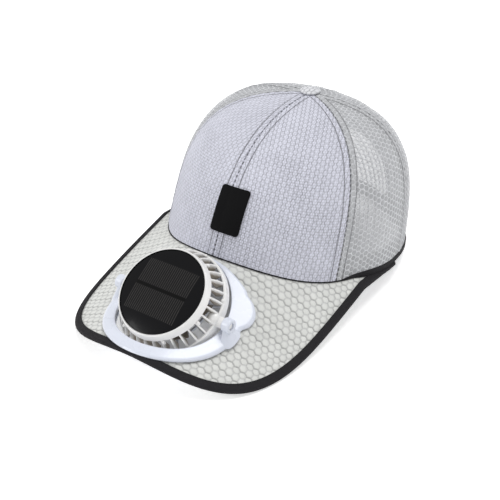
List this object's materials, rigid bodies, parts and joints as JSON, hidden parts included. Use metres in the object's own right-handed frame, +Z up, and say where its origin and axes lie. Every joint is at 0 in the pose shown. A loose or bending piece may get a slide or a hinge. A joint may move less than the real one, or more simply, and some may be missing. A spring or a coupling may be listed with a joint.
{
  "type": "solar fan hat",
  "caption": "Mesh baseball cap whose stiff curved peak carries a tilting fan pod with a round solar panel on top and a slotted grille.",
  "frame": {"origin": "On the resting plane, below the middle of the hat's bounding box.", "axes": "+Z is up off the resting plane, -Y is forward over the peak, +X is the wearer's left."},
  "size_m": [0.1906, 0.2794, 0.1204],
  "materials": {
    "front_mesh": "dense lavender-grey honeycomb mesh, matte",
    "side_mesh": "open grey honeycomb mesh, slightly see-through",
    "peak_mesh": "pale honeycomb mesh stretched over a stiff board",
    "black_tape": "woven black tape, matte",
    "black_rubber": "soft moulded rubber, satin",
    "white_plastic": "moulded white plastic, glossy",
    "grey_plastic": "moulded warm grey plastic, semi-gloss",
    "solar_glass": "clear resin over black solar cells, glossy",
    "motor_metal": "plated steel can, satin"
  },
  "bodies": {
    "cap": {"panel_front_right": "front_mesh", "panel_front_left": "front_mesh", "panel_side_right": "side_mesh", "panel_side_left": "side_mesh", "panel_back_right": "side_mesh", "panel_back_left": "side_mesh", "top_button": "side_mesh", "hem_band": "black_tape", "rear_strap": "black_tape", "front_patch": "black_rubber", "peak": "peak_mesh", "peak_binding": "black_tape", "fan_base_plate": "white_plastic", "fan_clamp_ring": "white_plastic"},
    "fan_pod": {"fan_housing": "white_plastic", "solar_panel": "solar_glass", "motor": "motor_metal", "outlet_grille": "white_plastic"},
    "rotor": {"impeller": "grey_plastic"}
  },
  "joints": [
    {"name": "fan_tilt", "type": "hinge", "parent": "cap", "child": "fan_pod", "pos_m": [0, -0.089, 0.03087], "axis": [1, 0, 0], "range_deg": [-43, 6]},
    {"name": "impeller_spin", "type": "hinge", "parent": "fan_pod", "child": "rotor", "pos_m": [0, -0.089, 0.03087], "axis": [0, -0.5159, 0.8566], "continuous": true}
  ]
}
